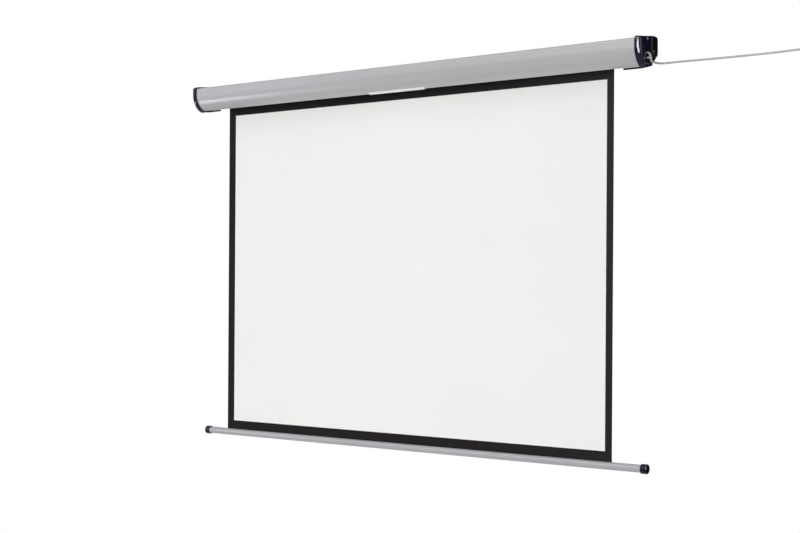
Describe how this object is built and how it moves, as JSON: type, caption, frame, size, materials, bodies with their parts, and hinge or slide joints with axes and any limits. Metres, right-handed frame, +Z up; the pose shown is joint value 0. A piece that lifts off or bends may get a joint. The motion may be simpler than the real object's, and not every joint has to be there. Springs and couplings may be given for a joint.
{
  "type": "motorized projector screen",
  "caption": "Wall-hung motorised projector screen: aluminium case with a tubular motor in the roller, black-bordered white fabric on a weighted bar, and a mains lead.",
  "frame": {"origin": "on the wall, midway between the two wall brackets, level with the middle of their keyholes", "axes": "+X to the right of a viewer facing the screen, +Y into the wall, +Z up; the fabric faces -Y"},
  "size_m": [2.2815, 0.1265, 1.2513],
  "materials": {
    "silver_case": "satin anodised",
    "silver_bar": "satin anodised",
    "galvanised_steel": "rolled",
    "zinc_screw": "zinc plated",
    "navy_plastic": "glossy moulded",
    "black_metal": "black powder coat",
    "black_plastic": "matt moulded",
    "white_vinyl": "matt white",
    "black_fabric": "matt black",
    "white_nylon": "moulded nylon",
    "cord_grey": "smooth sheath",
    "sintered_bronze": "sintered",
    "copper_windings": "varnished windings",
    "circuit_board": "green laminate"
  },
  "bodies": {
    "housing": {"case_extrusion": "silver_case", "lip_guard": "white_nylon", "end_cap_right": "navy_plastic", "end_cap_left": "navy_plastic", "wall_bracket_right": "black_metal", "wall_bracket_left": "black_metal", "cap_screw_right_1": "zinc_screw", "cap_screw_right_2": "zinc_screw", "cap_screw_right_3": "zinc_screw", "bracket_screw_right_1": "zinc_screw", "bracket_screw_right_2": "zinc_screw", "cap_screw_left_1": "zinc_screw", "cap_screw_left_2": "zinc_screw", "cap_screw_left_3": "zinc_screw", "bracket_screw_left_1": "zinc_screw", "bracket_screw_left_2": "zinc_screw", "motor_plate": "galvanised_steel", "motor_screw_1": "zinc_screw", "motor_screw_2": "zinc_screw", "motor_head": "black_plastic", "motor_housing": "galvanised_steel", "planetary_gearbox": "galvanised_steel", "motor_stator": "copper_windings", "holding_brake": "galvanised_steel", "run_capacitor": "black_plastic", "control_board": "circuit_board", "idler_plate": "galvanised_steel", "idler_bush": "sintered_bronze", "black_backing": "black_fabric", "viewing_surface": "white_vinyl", "cord_gland": "black_plastic", "cord_clip": "cord_grey", "mains_cord": "cord_grey", "cord_coil": "cord_grey", "coil_tie": "black_plastic", "cord_tail": "cord_grey", "plug_body": "cord_grey", "plug_pin_1": "galvanised_steel", "plug_pin_2": "galvanised_steel", "wall_clip": "white_nylon", "clip_nail": "galvanised_steel"},
    "roller": {"motor_shaft": "galvanised_steel", "drive_wheel": "white_nylon", "roller_tube": "galvanised_steel", "edge_spline": "white_nylon", "fabric_wraps": "black_fabric", "limit_crown": "white_nylon", "idler_plug": "white_nylon"},
    "weighted_bar": {"bottom_bar": "silver_bar", "hem_rod": "galvanised_steel", "bar_cap_right": "navy_plastic", "bar_cap_left": "navy_plastic"},
    "limit_screw_up": {"limit_screw_up": "white_nylon"},
    "limit_screw_down": {"limit_screw_down": "white_nylon"}
  },
  "joints": [
    {"name": "roller_spin", "type": "hinge", "parent": "housing", "child": "roller", "pos_m": [0, -0.0746, -0.02], "axis": [1, 0, 0], "range_deg": [0, 2412]},
    {"name": "bar_lift", "type": "slide", "parent": "housing", "child": "weighted_bar", "axis": [0, 0, 1], "range_m": [0, 1.12], "deforming": ["black_backing", "viewing_surface"]},
    {"name": "limit_up_turn", "type": "hinge", "parent": "housing", "child": "limit_screw_up", "pos_m": [0.822, -0.0746, -0.0395], "axis": [0, 0, 1], "range_deg": [-1080, 1080]},
    {"name": "limit_down_turn", "type": "hinge", "parent": "housing", "child": "limit_screw_down", "pos_m": [0.831, -0.0746, -0.0395], "axis": [0, 0, 1], "range_deg": [-1080, 1080]}
  ],
  "couplings": [
    {"joint": "bar_lift", "follows": "roller_spin", "m_per_rad": 0.0266}
  ]
}
